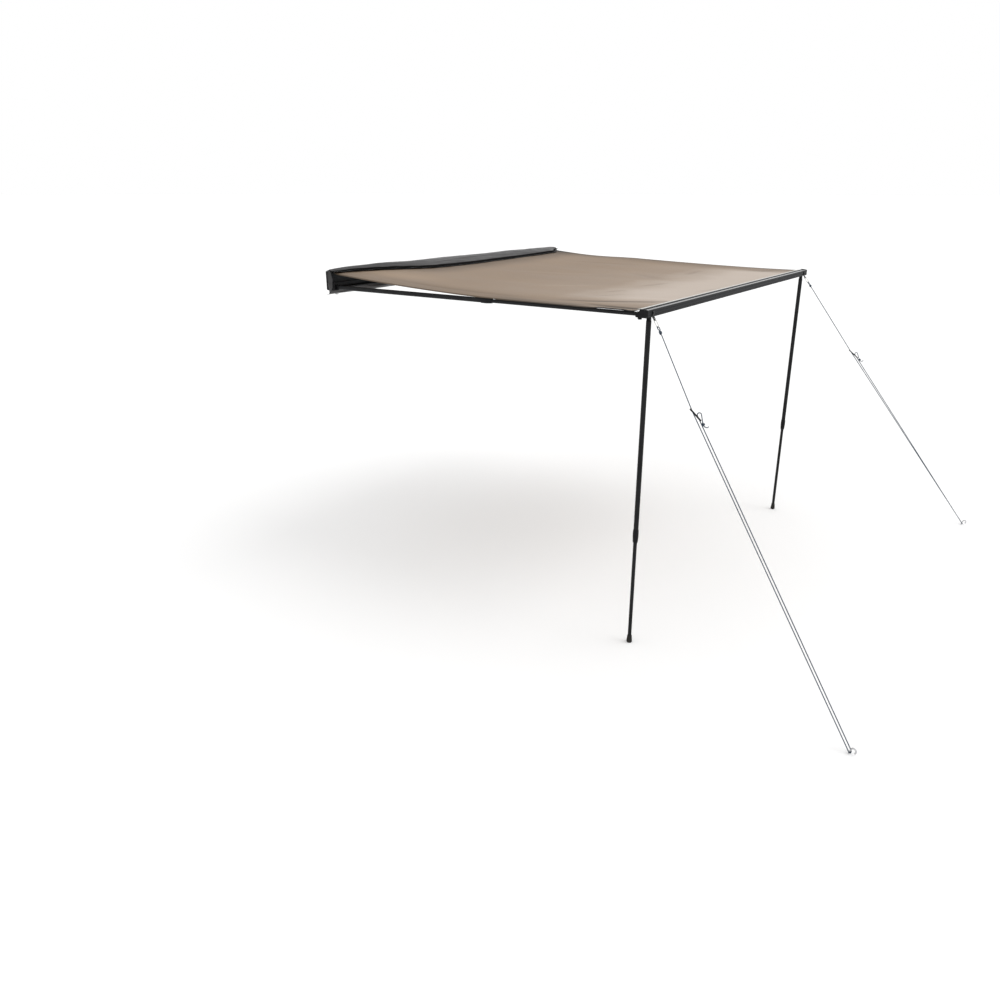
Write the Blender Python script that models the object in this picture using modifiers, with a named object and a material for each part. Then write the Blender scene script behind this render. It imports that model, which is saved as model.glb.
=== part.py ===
"""Vehicle side awning, drawn open: rail, two rafter arms, front beam, two legs, canopy, bag, guys.

Metres, +Z up. The origin is the middle of the base rail's back face. -Y is away from the vehicle,
the vehicle's front towards -X. "front" pieces stand at -X, "rear" pieces at +X.
"""

import math

import bmesh
import bpy
from mathutils import Matrix, Vector

for old in list(bpy.data.objects):
    bpy.data.objects.remove(old, do_unlink=True)

# Driving dimensions
AWNING_LENGTH = 2.500
LEG_LINE = -2.030
GROUND = -1.750
ARM_Z = -0.038
LEG_X = AWNING_LENGTH / 2 - 0.060
ARM_X = AWNING_LENGTH / 2 - 0.028
ARM_Y = -0.050
ARM_LOCK = 1.085
CANOPY_HALF = AWNING_LENGTH / 2 - 0.018
GAP = 0.0003

# Base rail section
RAIL_HALF = 0.050
WALL = 0.0025
BEAD = 0.0056
BORE = 0.0038
MOUTH = 0.0016
KEDER = BORE - GAP
TRACK_Y = -0.024
BAG_TRACK_Y = -0.0095
TRACK_Z = RAIL_HALF - BEAD
SLOT_Z = RAIL_HALF - 0.024
SLOT_MOUTH = 0.0045
SLOT_HALF = 0.0075
SLOT_DEEP = 0.0085
CAP_PLATE = 0.006
RAIL_X = AWNING_LENGTH / 2 - CAP_PLATE

# Front beam section
BEAM_DEEP = 0.038
BEAM_HIGH = 0.034
BEAM_TOP = -0.016
BEAM_WALL = 0.002
BEAM_FRONT = LEG_LINE - BEAM_DEEP / 2
BEAM_BACK = LEG_LINE + BEAM_DEEP / 2
BEAM_LOW = BEAM_TOP - BEAM_HIGH
BEAM_PLATE = 0.005
BEAM_X = AWNING_LENGTH / 2 - BEAM_PLATE
BEAM_TRACK_Y = BEAM_BACK - BEAD
BEAM_TRACK_Z = BEAM_TOP - MOUTH
LEG_Z = -0.0338

# Tubes, the same for arms and legs
TUBE = 0.0125
TUBE_BORE = 0.0110
INNER = 0.0095
INNER_BORE = 0.0082
COLLAR = 0.0148
COLLAR_LONG = 0.070
PIN = 0.003
ARM_PIN = 0.004
SHEET = 0.0012

PARTS = bpy.data.collections.new("vehicle_side_awning")
CUTTERS = bpy.data.collections.new("cutters")
bpy.context.scene.collection.children.link(PARTS)
bpy.context.scene.collection.children.link(CUTTERS)

COLOURS = {
    "anodised_dark": ((0.055, 0.058, 0.062, 1), 0.42, 0.8),
    "powder_black": ((0.022, 0.023, 0.025, 1), 0.5, 0.3),
    "moulded_black": ((0.02, 0.02, 0.021, 1), 0.6, 0.0),
    "rubber_black": ((0.016, 0.016, 0.017, 1), 0.85, 0.0),
    "steel": ((0.5, 0.5, 0.51, 1), 0.35, 1.0),
    "canopy_taupe": ((0.44, 0.38, 0.31, 1), 0.85, 0.0),
    "hem_white": ((0.72, 0.71, 0.68, 1), 0.8, 0.0),
    "bag_black": ((0.018, 0.018, 0.02, 1), 0.35, 0.0),
    "rope_blue": ((0.09, 0.12, 0.19, 1), 0.8, 0.0),
    "clip_pale": ((0.62, 0.61, 0.58, 1), 0.5, 0.0),
}
MATERIALS = {}
for slot, (colour, rough, metal) in COLOURS.items():
    made = bpy.data.materials.new(slot)
    made.use_nodes = True
    shader = made.node_tree.nodes["Principled BSDF"]
    shader.inputs["Base Color"].default_value = colour
    shader.inputs["Roughness"].default_value = rough
    shader.inputs["Metallic"].default_value = metal
    MATERIALS[slot] = made


def add(name, data, slot=None):
    """A part with its material or, without one, a cutter or an added shape that isn't shown."""
    obj = bpy.data.objects.new(name, data)
    if slot:
        PARTS.objects.link(obj)
        data.materials.append(MATERIALS[slot].copy())
        data.materials[0].name = name + "_" + slot
    else:
        CUTTERS.objects.link(obj)
        obj.hide_render = True
        obj.display_type = "WIRE"
    return obj


def smooth(obj, angle=35):
    obj.data.shade_smooth()
    obj.data.set_sharp_from_angle(angle=math.radians(angle))
    return obj


def circle_points(centre, radius, start, end, count):
    """Points of an arc, angles in degrees from the first axis towards the second."""
    found = []
    for i in range(count + 1):
        angle = math.radians(start + (end - start) * i / count)
        found.append((centre[0] + radius * math.cos(angle), centre[1] + radius * math.sin(angle)))
    return found


DRAWN_ALONG = {
    "X": Matrix(((0, 0, 1, 0), (1, 0, 0, 0), (0, 1, 0, 0), (0, 0, 0, 1))),
    "Y": Matrix.Rotation(math.pi / 2, 4, "X"),
    "Z": Matrix.Identity(4),
}


def extruded(name, outline, axis, start, end, slot=None, holes=()):
    """A flat outline drawn out along X (outline in Y, Z), Y (in X, Z) or Z (in X, Y)."""
    curve = bpy.data.curves.new(name + "_outline", "CURVE")
    curve.dimensions = "2D"
    curve.fill_mode = "BOTH"
    curve.extrude = abs(end - start) / 2
    for loop in (outline, *holes):
        spline = curve.splines.new("POLY")
        spline.points.add(len(loop) - 1)
        for point, (a, b) in zip(spline.points, loop):
            point.co = (a, b, 0, 1)
        spline.use_cyclic_u = True
    guide = bpy.data.objects.new(name + "_outline", curve)
    CUTTERS.objects.link(guide)
    bpy.context.view_layer.update()
    graph = bpy.context.evaluated_depsgraph_get()
    mesh = bpy.data.meshes.new_from_object(guide.evaluated_get(graph))
    bpy.data.objects.remove(guide, do_unlink=True)
    middle = {"X": 0, "Y": 1, "Z": 2}[axis]
    offset = Vector((0, 0, 0))
    offset[middle] = (start + end) / 2
    mesh.transform(Matrix.Translation(offset) @ DRAWN_ALONG[axis])
    form = bmesh.new()
    form.from_mesh(mesh)
    bmesh.ops.remove_doubles(form, verts=form.verts, dist=0.000005)
    bmesh.ops.recalc_face_normals(form, faces=form.faces)
    form.to_mesh(mesh)
    form.free()
    mesh.name = name
    mesh.materials.clear()
    return add(name, mesh, slot)


def block(name, low, high, slot=None):
    """A box between two corners."""
    form = bmesh.new()
    bmesh.ops.create_cube(form, size=1)
    size = Vector(high) - Vector(low)
    bmesh.ops.scale(form, verts=form.verts, vec=size)
    bmesh.ops.translate(form, verts=form.verts, vec=(Vector(low) + Vector(high)) / 2)
    mesh = bpy.data.meshes.new(name)
    form.to_mesh(mesh)
    form.free()
    return add(name, mesh, slot)


def rod(name, start, end, radius, slot=None, steps=20):
    """A plain round bar between two points, its origin at the first."""
    start = Vector(start)
    run = Vector(end) - start
    form = bmesh.new()
    bmesh.ops.create_cone(
        form, cap_ends=True, segments=steps, radius1=radius, radius2=radius, depth=run.length
    )
    bmesh.ops.translate(form, verts=form.verts, vec=(0, 0, run.length / 2))
    mesh = bpy.data.meshes.new(name)
    form.to_mesh(mesh)
    form.free()
    obj = add(name, mesh, slot)
    obj.location = start
    obj.rotation_euler = run.to_track_quat("Z", "Y").to_euler()
    return smooth(obj)


TURNED = {"-Z": (math.pi, 0, 0), "-Y": (math.pi / 2, 0, 0), "Y": (-math.pi / 2, 0, 0), "Z": (0, 0, 0)}


def turned(name, at, axis, outer, inner=None, slot=None, steps=24):
    """A turned piece along an axis from a point: stations (distance, radius), bore stations if any."""
    if inner:
        profile = [(r, s) for s, r in reversed(outer)] + [(r, s) for s, r in inner]
    else:
        ends = [(0.0, outer[-1][0])], [(0.0, outer[0][0])]
        profile = ends[0] + [(r, s) for s, r in reversed(outer)] + ends[1]
    form = bmesh.new()
    made = [form.verts.new((r, 0, s)) for r, s in profile]
    for first, second in zip(made, made[1:]):
        form.edges.new((first, second))
    if inner:
        form.edges.new((made[-1], made[0]))
    mesh = bpy.data.meshes.new(name)
    form.to_mesh(mesh)
    form.free()
    obj = add(name, mesh, slot)
    obj.location = at
    obj.rotation_euler = TURNED[axis]
    lathe = obj.modifiers.new("Lathe", "SCREW")
    lathe.steps = steps
    lathe.render_steps = steps
    lathe.use_merge_vertices = True
    lathe.merge_threshold = 0.00005
    return obj


def cut(obj, cutter, how="DIFFERENCE"):
    change = obj.modifiers.new(how.title(), "BOOLEAN")
    change.operation = how
    change.solver = "EXACT"
    change.object = cutter
    return obj


def joined(obj, *others):
    for other in others:
        cut(obj, other, "UNION")
    return obj


def softened(obj, width=0.0008, segments=1):
    edge = obj.modifiers.new("Edges", "BEVEL")
    edge.width = width
    edge.segments = segments
    edge.limit_method = "ANGLE"
    edge.angle_limit = math.radians(40)
    return obj


def pivot(name, at):
    """An empty on a joint's axis, for the pieces that ride on it."""
    obj = bpy.data.objects.new(name, None)
    obj.empty_display_size = 0.03
    obj.location = at
    bpy.context.scene.collection.objects.link(obj)
    return obj


def ride(carrier, *pieces):
    for piece in pieces:
        piece.parent = carrier
        piece.matrix_parent_inverse = Matrix.Translation(-carrier.location)


def slot_outline(centre):
    """One T-slot of the rail's back face, from its upper lip to its lower."""
    return [
        (0, centre + SLOT_MOUTH),
        (-WALL, centre + SLOT_MOUTH),
        (-WALL, centre + SLOT_HALF),
        (-SLOT_DEEP, centre + SLOT_HALF),
        (-SLOT_DEEP, centre - SLOT_HALF),
        (-WALL, centre - SLOT_HALF),
        (-WALL, centre - SLOT_MOUTH),
        (0, centre - SLOT_MOUTH),
    ]


def slot_box(centre):
    """The slot's box as seen from inside the rail, going up."""
    half = SLOT_HALF + WALL
    deep = SLOT_DEEP + WALL
    return [(-WALL, centre - half), (-deep, centre - half), (-deep, centre + half), (-WALL, centre + half)]


# Angles at which a sail track's slot meets its bore and its bead, and the wall meets the bead
AT_BORE = math.degrees(math.asin(MOUTH / BORE))
AT_BEAD = math.degrees(math.asin(MOUTH / BEAD))
AT_WALL = math.degrees(math.asin((BEAD - WALL) / BEAD))

# Base rail: T-slots behind, the canopy's track at the front of the top, the bag's two tracks
low_track = (TRACK_Y, -TRACK_Z)
sail_track = (TRACK_Y, TRACK_Z)
bag_track = (BAG_TRACK_Y, TRACK_Z)
rail = [(0, RAIL_HALF)]
rail += slot_outline(SLOT_Z)
rail += slot_outline(-SLOT_Z)
rail += [(0, -RAIL_HALF), (TRACK_Y + MOUTH, -RAIL_HALF)]
rail += circle_points(low_track, BORE, -90 + AT_BORE, 270 - AT_BORE, 10)
rail += circle_points(low_track, BEAD, 270 - AT_BEAD, -AT_WALL, 10)
rail += [(-WALL, -RAIL_HALF + WALL)]
rail += slot_box(-SLOT_Z)
rail += slot_box(SLOT_Z)
rail += [(-WALL, TRACK_Z - BEAD)]
rail += circle_points(bag_track, BEAD, 270, 180 - AT_WALL, 5)
rail += circle_points(sail_track, BEAD, AT_WALL, -180 + AT_BEAD, 8)
rail += circle_points(sail_track, BORE, -180 + AT_BORE, 180 - AT_BORE, 10)
rail += circle_points(sail_track, BEAD, 180 - AT_BEAD, 90, 3)
rail += [(BAG_TRACK_Y - MOUTH, RAIL_HALF)]
rail += circle_points(bag_track, BORE, 90 + AT_BORE, 450 - AT_BORE, 10)
rail += [(BAG_TRACK_Y + MOUTH, RAIL_HALF)]
smooth(extruded("base_rail", rail, "X", -RAIL_X + GAP, RAIL_X - GAP, "anodised_dark"))


def rail_end(end, side):
    """End cap with the two lugs of the rafter arm, and the arm's riveted pin."""
    top = RAIL_HALF + 0.002
    low = -RAIL_HALF - 0.005
    outline = [(-0.0005, RAIL_HALF), (-0.0025, top), (-0.027, top), (-0.031, top - 0.004), (-0.033, top - 0.012)]
    outline += [(-0.034, 0.002), (-0.040, -0.008), (-0.060, -0.010), (-0.066, -0.016)]
    outline += [(-0.066, low + 0.006), (-0.060, low), (-0.006, low), (-0.0005, -RAIL_HALF)]
    cap = extruded("rail_end_cap_" + end, outline, "X", side * RAIL_X, side * (RAIL_X + CAP_PLATE),
                   "moulded_black")
    softened(cap, 0.001)
    arm_half = 0.011
    for where, low in (("upper", ARM_Z + arm_half + GAP), ("lower", ARM_Z - arm_half - GAP - 0.004)):
        lug = circle_points((side * ARM_X, ARM_Y), 0.014, side * 90 + 0, side * 90 + 180, 10)
        lug += [(side * (RAIL_X + 0.003), ARM_Y - side * 0.014), (side * (RAIL_X + 0.003), ARM_Y + side * 0.014)]
        shape = extruded(f"{end}_{where}_lug", lug, "Z", low, low + 0.004)
        joined(cap, shape)
    hole = rod(end + "_arm_hole", (side * ARM_X, ARM_Y, ARM_Z - 0.03), (side * ARM_X, ARM_Y, ARM_Z + 0.03),
               ARM_PIN + GAP)
    cut(cap, hole)
    reach = arm_half + GAP + 0.004 + GAP
    pin = [(-reach - 0.0022, 0.0055), (-reach - 0.0012, 0.007), (-reach, 0.007), (-reach, ARM_PIN)]
    pin += [(reach, ARM_PIN), (reach, 0.007), (reach + 0.0012, 0.007), (reach + 0.0022, 0.0055)]
    smooth(turned("rafter_pivot_pin_" + end, (side * ARM_X, ARM_Y, ARM_Z), "Z", pin, slot="steel", steps=12))


def rack_bracket(end, side):
    """Angle bracket behind the rail with its two T-slot bolts; its foot lies on the roof rack."""
    middle = side * (AWNING_LENGTH / 2 - 0.45)
    back = GAP + 0.005
    top = RAIL_HALF - 0.010
    outline = [(GAP, -RAIL_HALF), (0.060, -RAIL_HALF), (0.060, -RAIL_HALF + 0.005)]
    outline += [(back + 0.004, -RAIL_HALF + 0.005), (back, -RAIL_HALF + 0.009), (back, top), (GAP, top)]
    bracket = extruded("mount_bracket_" + end, outline, "X", middle - 0.025, middle + 0.025, "powder_black")
    slot = circle_points((middle, 0.0475), 0.0045, 0, 180, 6) + circle_points((middle, 0.0285), 0.0045, 180, 360, 6)
    cut(bracket, extruded(end + "_rack_slot", slot, "Z", -RAIL_HALF - 0.002, -RAIL_HALF + 0.008))
    for where, z in (("upper", SLOT_Z), ("lower", -SLOT_Z)):
        cut(bracket, rod(f"{end}_{where}_bolt_hole", (middle, -0.002, z), (middle, 0.010, z), 0.0043))
        stem = [(-0.006, 0.004), (back + GAP, 0.004), (back + GAP, 0.008), (back + GAP + 0.0016, 0.008)]
        stem += [(back + GAP + 0.0016, 0.004), (0.0165, 0.004), (0.0172, 0.0033)]
        bolt = turned(f"bracket_bolt_{end}_{where}", (middle, 0, z), "Y", stem, slot="steel", steps=12)
        head = block(f"{end}_{where}_t_head", (middle - 0.0065, -SLOT_DEEP + 0.0007, z - 0.0065),
                     (middle + 0.0065, -WALL - GAP, z + 0.0065))
        nut = rod(f"{end}_{where}_nut", (middle, back + GAP + 0.0010, z), (middle, 0.0137, z), 0.0075, steps=6)
        joined(bolt, head, nut)
        smooth(bolt)


for end, side in (("front", -1), ("rear", 1)):
    rail_end(end, side)
    rack_bracket(end, side)

# Front beam: a channel open below for the legs, the canopy's track along its upper back edge
beam_track = (BEAM_TRACK_Y, BEAM_TRACK_Z)
inside = BEAM_BACK - BEAM_WALL
low_meet = math.degrees(math.acos((inside - BEAM_TRACK_Y) / BEAD))
roof_meet = math.degrees(math.asin((BEAM_TOP - BEAM_WALL - BEAM_TRACK_Z) / BEAD))
beam = [(BEAM_FRONT, BEAM_LOW)]
for groove in (-0.039, -0.027):
    beam += [(BEAM_FRONT, groove - 0.0015), (BEAM_FRONT + 0.001, groove - 0.001)]
    beam += [(BEAM_FRONT + 0.001, groove + 0.001), (BEAM_FRONT, groove + 0.0015)]
beam += [(BEAM_FRONT, BEAM_TOP - 0.002), (BEAM_FRONT + 0.0006, BEAM_TOP - 0.0006), (BEAM_FRONT + 0.002, BEAM_TOP)]
beam += circle_points(beam_track, BEAD, 180 - AT_BEAD, AT_BEAD, 6)
beam += circle_points(beam_track, BORE, AT_BORE, 360 - AT_BORE, 10)
beam += circle_points(beam_track, BEAD, -AT_BEAD, -AT_BEAD, 1)[:1]
beam += [(BEAM_BACK, BEAM_TRACK_Z - 0.0034), (BEAM_BACK, BEAM_LOW), (inside, BEAM_LOW)]
beam += circle_points(beam_track, BEAD, -low_meet, -180 - roof_meet, 5)
beam += [(BEAM_FRONT + BEAM_WALL, BEAM_TOP - BEAM_WALL), (BEAM_FRONT + BEAM_WALL, BEAM_LOW)]
front_beam = extruded("front_beam", beam, "X", -BEAM_X + GAP, BEAM_X - GAP, "anodised_dark")
beam_carrier = pivot("beam_slide", (0, LEG_LINE, BEAM_TOP))
ride(beam_carrier, front_beam)

JAW_X = AWNING_LENGTH / 2 - 0.050
JAW_BACK = BEAM_BACK + 0.022
KNOB_Y = BEAM_BACK + 0.012
TONGUE = 0.007


def beam_end(end, side):
    """Moulded cap: a plate over the beam's end and the jaws that take the rafter's tongue."""
    plate = [(BEAM_FRONT - 0.0015, BEAM_LOW), (BEAM_FRONT - 0.0015, BEAM_TOP - 0.002)]
    plate += [(BEAM_FRONT + 0.002, BEAM_TOP + 0.0015), (BEAM_TRACK_Y - 0.005, BEAM_TOP + 0.0045)]
    plate += [(BEAM_BACK + 0.0015, BEAM_TOP + 0.0045), (BEAM_BACK + 0.004, ARM_Z + 0.0113 + 0.002)]
    plate += [(JAW_BACK, ARM_Z + 0.0113), (JAW_BACK, ARM_Z - 0.0113), (BEAM_BACK + 0.004, BEAM_LOW - 0.0015)]
    plate += [(BEAM_FRONT + 0.002, BEAM_LOW - 0.0015)]
    cap = extruded("beam_end_cap_" + end, plate, "X", side * BEAM_X, side * (BEAM_X + BEAM_PLATE),
                   "moulded_black")
    softened(cap, 0.001)
    inner = TONGUE + GAP
    for where, low in (("upper", ARM_Z + inner), ("lower", ARM_Z - inner - 0.004)):
        jaw = block(f"{end}_{where}_jaw", (min(side * JAW_X, side * (BEAM_X + 0.003)), BEAM_BACK + GAP, low),
                    (max(side * JAW_X, side * (BEAM_X + 0.003)), JAW_BACK, low + 0.004))
        joined(cap, softened(jaw, 0.001))
    cut(cap, rod(end + "_knob_hole", (side * ARM_X, KNOB_Y, -0.060), (side * ARM_X, KNOB_Y, ARM_Z), PIN + GAP))

    knob_top = ARM_Z - inner - 0.004 - GAP
    stem = [(-0.013, 0.0075), (-0.0125, 0.0092), (-0.0105, 0.0100), (-0.0025, 0.0100), (-0.0005, 0.0088)]
    stem += [(0.0, 0.0075), (0.0, PIN), (0.0042, PIN), (0.0044, 0.0024)]
    knob = turned("clamp_knob_" + end, (side * ARM_X, KNOB_Y, knob_top), "Z", stem, slot="moulded_black")
    knob = lobed(knob, 0.0085, 0.0022, 4)
    ride(beam_carrier, cap, knob)


def lobed(obj, beyond, deep, each):
    """Presses hollows into a turned piece where it is wider than a radius, one every so many steps."""
    bpy.context.view_layer.update()
    graph = bpy.context.evaluated_depsgraph_get()
    mesh = bpy.data.meshes.new_from_object(obj.evaluated_get(graph))
    for vertex in mesh.vertices:
        x, y, _ = vertex.co
        radius = math.hypot(x, y)
        if radius > beyond:
            step = round(math.degrees(math.atan2(y, x)) / 15)
            if step % each == 0:
                vertex.co.x *= (radius - deep) / radius
                vertex.co.y *= (radius - deep) / radius
    obj.modifiers.clear()
    obj.data = mesh
    return smooth(obj, 30)


for end, side in (("front", -1), ("rear", 1)):
    beam_end(end, side)


def telescope(kind, end, at, axis, start, outer_end, inner_start, inner_end):
    """Outer tube, twist-lock collar over its end, inner tube."""
    outer = [(start, TUBE), (outer_end, TUBE)]
    bore = [(start, TUBE_BORE), (outer_end, TUBE_BORE)]
    tube = smooth(turned(f"{kind}_outer_{end}", at, axis, outer, bore, "powder_black"))
    half = COLLAR_LONG / 2
    top = outer_end - half
    collar = [(top, TUBE + 0.0010), (top + 0.002, TUBE + 0.0016), (top + 0.010, COLLAR)]
    collar += [(outer_end + 0.006, COLLAR), (outer_end + 0.010, 0.0139), (outer_end + 0.014, 0.0139)]
    collar += [(outer_end + half - 0.008, 0.0132), (outer_end + half, 0.0118)]
    seat = outer_end + GAP
    hollow = [(top, TUBE + GAP), (seat, TUBE + GAP), (seat, INNER + GAP), (outer_end + half, INNER + GAP)]
    lock = turned(f"{kind}_lock_{end}", at, axis, collar, hollow, "moulded_black")
    lock = lobed(lock, 0.0143, 0.0007, 2)
    outer = [(inner_start, INNER), (inner_end, INNER)]
    bore = [(inner_start, INNER_BORE), (inner_end, INNER_BORE)]
    slider = smooth(turned(f"{kind}_inner_{end}", at, axis, outer, bore, "powder_black"))
    return tube, lock, slider


def leg(end, side, lock_up, overlap):
    """One leg, hanging from its pin in the beam, with the pin; lock_up is its collar's height."""
    at = (side * LEG_X, LEG_LINE, LEG_Z)
    long = LEG_Z - GROUND
    outer_end = long - lock_up
    width = BEAM_DEEP / 2 - BEAM_WALL - GAP
    knuckle = turned("leg_knuckle_" + end, at, "-Z",
                     [(0.036, TUBE), (0.0395, TUBE), (0.0395, TUBE_BORE - GAP), (0.073, TUBE_BORE - GAP),
                      (0.075, TUBE_BORE - GAP - 0.001)], slot="moulded_black")
    barrel = rod(end + "_leg_barrel", (at[0], LEG_LINE - width, LEG_Z), (at[0], LEG_LINE + width, LEG_Z), 0.008)
    neck = softened(block(end + "_leg_neck", (at[0] - 0.0085, LEG_LINE - 0.009, LEG_Z - 0.038),
                          (at[0] + 0.0085, LEG_LINE + 0.009, LEG_Z - 0.002)), 0.001)
    joined(knuckle, neck, barrel)
    hole = rod(end + "_leg_hole", (at[0], BEAM_FRONT - 0.01, LEG_Z), (at[0], BEAM_BACK + 0.01, LEG_Z), PIN + GAP,
               steps=16)
    cut(knuckle, hole)
    cut(front_beam, hole)
    smooth(knuckle)
    tube, lock, slider = telescope("leg", end, at, "-Z", 0.0395 + GAP, outer_end, outer_end - overlap,
                                   long - 0.0103)
    foot = [(long - 0.040, 0.0112), (long - 0.038, 0.0122), (long - 0.030, 0.0126), (long - 0.014, 0.0142)]
    foot += [(long - 0.010, 0.0145), (long - 0.003, 0.0145), (long, 0.0132)]
    cup = [(long - 0.040, INNER + GAP), (long - 0.010, INNER + GAP), (long - 0.010, 0.0006)]
    shoe = turned("leg_foot_" + end, at, "-Z", foot[:], None, "rubber_black")
    socket = turned(end + "_foot_socket", at, "-Z", [(long - 0.045, INNER + GAP), (cup[1][0], INNER + GAP)])
    cut(shoe, socket)
    smooth(shoe)
    tab = 0.003
    out = BEAM_FRONT - GAP - tab - GAP
    reach = [(LEG_LINE - out + 0.0020, 0.004), (LEG_LINE - out + 0.0012, 0.0052), (LEG_LINE - out, 0.0052)]
    back = BEAM_BACK + GAP - LEG_LINE
    pin = [(-back - 0.0020, 0.004), (-back - 0.0012, 0.0052), (-back, 0.0052), (-back, PIN)]
    pin += [(reach[2][0], PIN), *reversed(reach)]
    bolt = smooth(turned("leg_pivot_pin_" + end, at, "-Y", pin, slot="steel", steps=12))
    ride(beam_carrier, bolt)
    swing = pivot(f"leg_{end}_fold", at)
    ride(swing, knuckle, tube, lock)
    drawn = pivot(f"leg_{end}_extension", (at[0], at[1], LEG_Z - outer_end))
    ride(drawn, slider, shoe)


leg("front", -1, 0.6062, 0.330)
leg("rear", 1, 0.6522, 0.304)


def rafter(end, side):
    """One telescopic arm from the rail's end cap to the beam's."""
    at = (side * ARM_X, ARM_Y, ARM_Z)
    knuckle = turned("rafter_knuckle_" + end, at, "-Y",
                     [(0.030, TUBE), (0.033, TUBE), (0.033, TUBE_BORE - GAP), (0.068, TUBE_BORE - GAP),
                      (0.070, TUBE_BORE - GAP - 0.001)], slot="moulded_black")
    root = circle_points((at[0], ARM_Y), 0.011, 0, 180, 10)
    root += [(at[0] - 0.011, ARM_Y - 0.0315), (at[0] + 0.011, ARM_Y - 0.0315)]
    joined(knuckle, softened(extruded(end + "_arm_root", root, "Z", ARM_Z - 0.011, ARM_Z + 0.011), 0.0008))
    cut(knuckle, rod(end + "_root_hole", (at[0], ARM_Y, -0.06), (at[0], ARM_Y, 0), ARM_PIN + GAP, steps=16))
    smooth(knuckle)
    tip_end = ARM_Y - JAW_BACK - 0.0018
    brim = tip_end - 0.0029
    tube, lock, slider = telescope("rafter", end, at, "-Y", 0.033 + GAP, ARM_LOCK, ARM_LOCK - 0.225, brim - GAP)
    tip = turned("rafter_tip_" + end, at, "-Y",
                 [(brim - 0.0303, INNER_BORE - GAP - 0.001), (brim - 0.0283, INNER_BORE - GAP),
                  (brim, INNER_BORE - GAP), (brim, 0.0112), (tip_end, 0.0112)], slot="moulded_black")
    far = BEAM_BACK + 0.0008
    tongue = circle_points((at[0], far + 0.009), 0.009, 180, 360, 8)
    tongue += [(at[0] + 0.009, ARM_Y - tip_end + 0.0012), (at[0] - 0.009, ARM_Y - tip_end + 0.0012)]
    joined(tip, extruded(end + "_tongue", tongue, "Z", ARM_Z - TONGUE, ARM_Z + TONGUE))
    smooth(tip)
    swing = pivot(f"rafter_{end}_swing", at)
    ride(swing, knuckle, tube, lock)
    drawn = pivot(f"rafter_{end}_extension", (at[0], ARM_Y - ARM_LOCK, ARM_Z))
    ride(drawn, slider, tip)


rafter("front", -1)
rafter("rear", 1)

# Keder rods in the four tracks
half = CANOPY_HALF
rod("rear_keder", (-half, TRACK_Y, TRACK_Z), (half, TRACK_Y, TRACK_Z), KEDER, "hem_white", 10)
ride(beam_carrier, rod("front_keder", (-half, *beam_track), (half, *beam_track), KEDER, "hem_white", 10))
half = CANOPY_HALF + 0.004
rod("bag_upper_keder", (-half, *bag_track), (half, *bag_track), KEDER, "bag_black", 10)
rod("bag_lower_keder", (-half, *low_track), (half, *low_track), KEDER, "bag_black", 10)


def draped(name, across, along, place_point, thick, slot):
    """A cloth of a grid of points, each put in place by a function of (0..1, 0..1), given its thickness."""
    form = bmesh.new()
    bmesh.ops.create_grid(form, x_segments=across, y_segments=along, size=0.5)
    for vertex in form.verts:
        vertex.co = place_point(vertex.co.x + 0.5, vertex.co.y + 0.5)
    mesh = bpy.data.meshes.new(name)
    form.to_mesh(mesh)
    form.free()
    obj = add(name, mesh, slot)
    body = obj.modifiers.new("Thickness", "SOLIDIFY")
    body.thickness = thick
    body.offset = 0
    body.use_even_offset = False
    return smooth(obj, 60)


CANOPY_BACK = TRACK_Y - KEDER - GAP
CANOPY_FRONT = BEAM_TRACK_Y + KEDER + GAP


def canopy_height(x, y):
    """Height of the cloth: nearly taut between the tracks, a little slack in the middle."""
    t = (y - CANOPY_BACK) / (CANOPY_FRONT - CANOPY_BACK)
    edge = min(1.0, abs(x) / CANOPY_HALF)
    bow = 4 * t * (1 - t)
    z = TRACK_Z + (BEAM_TRACK_Z - TRACK_Z) * t
    z -= bow * (0.030 + 0.001 * edge ** 3)
    z += 0.0028 * bow * math.sin(5.2 * x + 2.1 * t) * (1 - 0.5 * edge)
    z += 0.0016 * bow * math.sin(14 * x - 5 * t + 0.6)
    return z


def canopy_point(u, v):
    x = (2 * u - 1) * CANOPY_HALF
    y = CANOPY_BACK + (CANOPY_FRONT - CANOPY_BACK) * v
    t = 4 * v * (1 - v)
    return Vector((x * (1 - 0.006 * t), y, canopy_height(x, y)))


draped("canopy", 24, 14, canopy_point, SHEET, "canopy_taupe")

hem_front = BEAM_BACK + 0.0008
hem_back = BEAM_BACK + 0.021
hem = [(hem_front, BEAM_TOP - 0.0006), (hem_front, BEAM_TOP - 0.0006 + SHEET)]
hem += [(hem_back, BEAM_TOP - 0.0009 + SHEET), (hem_back, BEAM_TOP - 0.0009)]
ride(beam_carrier, extruded("front_hem", hem, "X", -CANOPY_HALF, CANOPY_HALF, "hem_white"))

BAG_X = AWNING_LENGTH / 2 + 0.0025


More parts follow.
